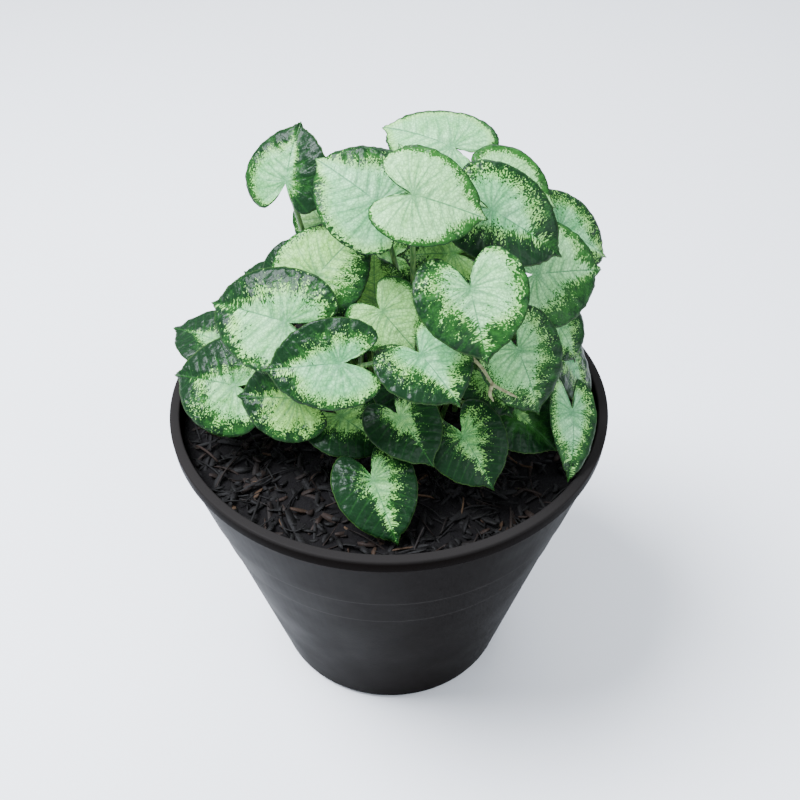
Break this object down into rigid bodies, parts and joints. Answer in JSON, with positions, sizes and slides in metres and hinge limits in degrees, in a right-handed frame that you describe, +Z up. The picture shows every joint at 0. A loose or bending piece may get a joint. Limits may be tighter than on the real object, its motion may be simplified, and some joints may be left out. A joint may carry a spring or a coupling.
{
  "type": "potted caladium",
  "caption": "Small-leaved plant with pale, green-edged heart-shaped leaves on thin stalks, in a round tapered black nursery pot of bark soil.",
  "frame": {"origin": "middle of the underside of the pot's floor, on the plane it stands on", "axes": "+Z up along the pot's axis; -Y towards the viewer of the picture, where the front leaves hang; +X to that viewer's right"},
  "size_m": [0.2, 0.2, 0.2882],
  "materials": {
    "pot": "satin",
    "soil": "matte",
    "leaf": "satin"
  },
  "bodies": {
    "root": {"pot": "pot", "soil": "soil", "leaf_01": "leaf", "leaf_02": "leaf", "leaf_03": "leaf", "leaf_04": "leaf", "leaf_05": "leaf", "leaf_06": "leaf", "leaf_07": "leaf", "leaf_08": "leaf", "leaf_09": "leaf", "leaf_10": "leaf", "leaf_11": "leaf", "leaf_12": "leaf", "leaf_13": "leaf", "leaf_14": "leaf", "leaf_15": "leaf", "leaf_16": "leaf", "leaf_17": "leaf", "leaf_18": "leaf", "leaf_19": "leaf", "leaf_20": "leaf", "leaf_21": "leaf", "leaf_22": "leaf", "leaf_23": "leaf", "leaf_24": "leaf", "leaf_25": "leaf", "leaf_26": "leaf", "leaf_27": "leaf", "leaf_28": "leaf", "leaf_29": "leaf", "leaf_30": "leaf", "leaf_31": "leaf", "leaf_32": "leaf", "leaf_33": "leaf", "leaf_34": "leaf", "leaf_35": "leaf", "leaf_36": "leaf", "leaf_37": "leaf", "leaf_38": "leaf", "leaf_39": "leaf", "leaf_40": "leaf", "leaf_41": "leaf", "leaf_42": "leaf", "leaf_43": "leaf", "leaf_44": "leaf", "leaf_45": "leaf", "leaf_46": "leaf", "leaf_47": "leaf", "leaf_48": "leaf", "leaf_49": "leaf", "leaf_50": "leaf", "leaf_51": "leaf"}
  },
  "joints": []
}
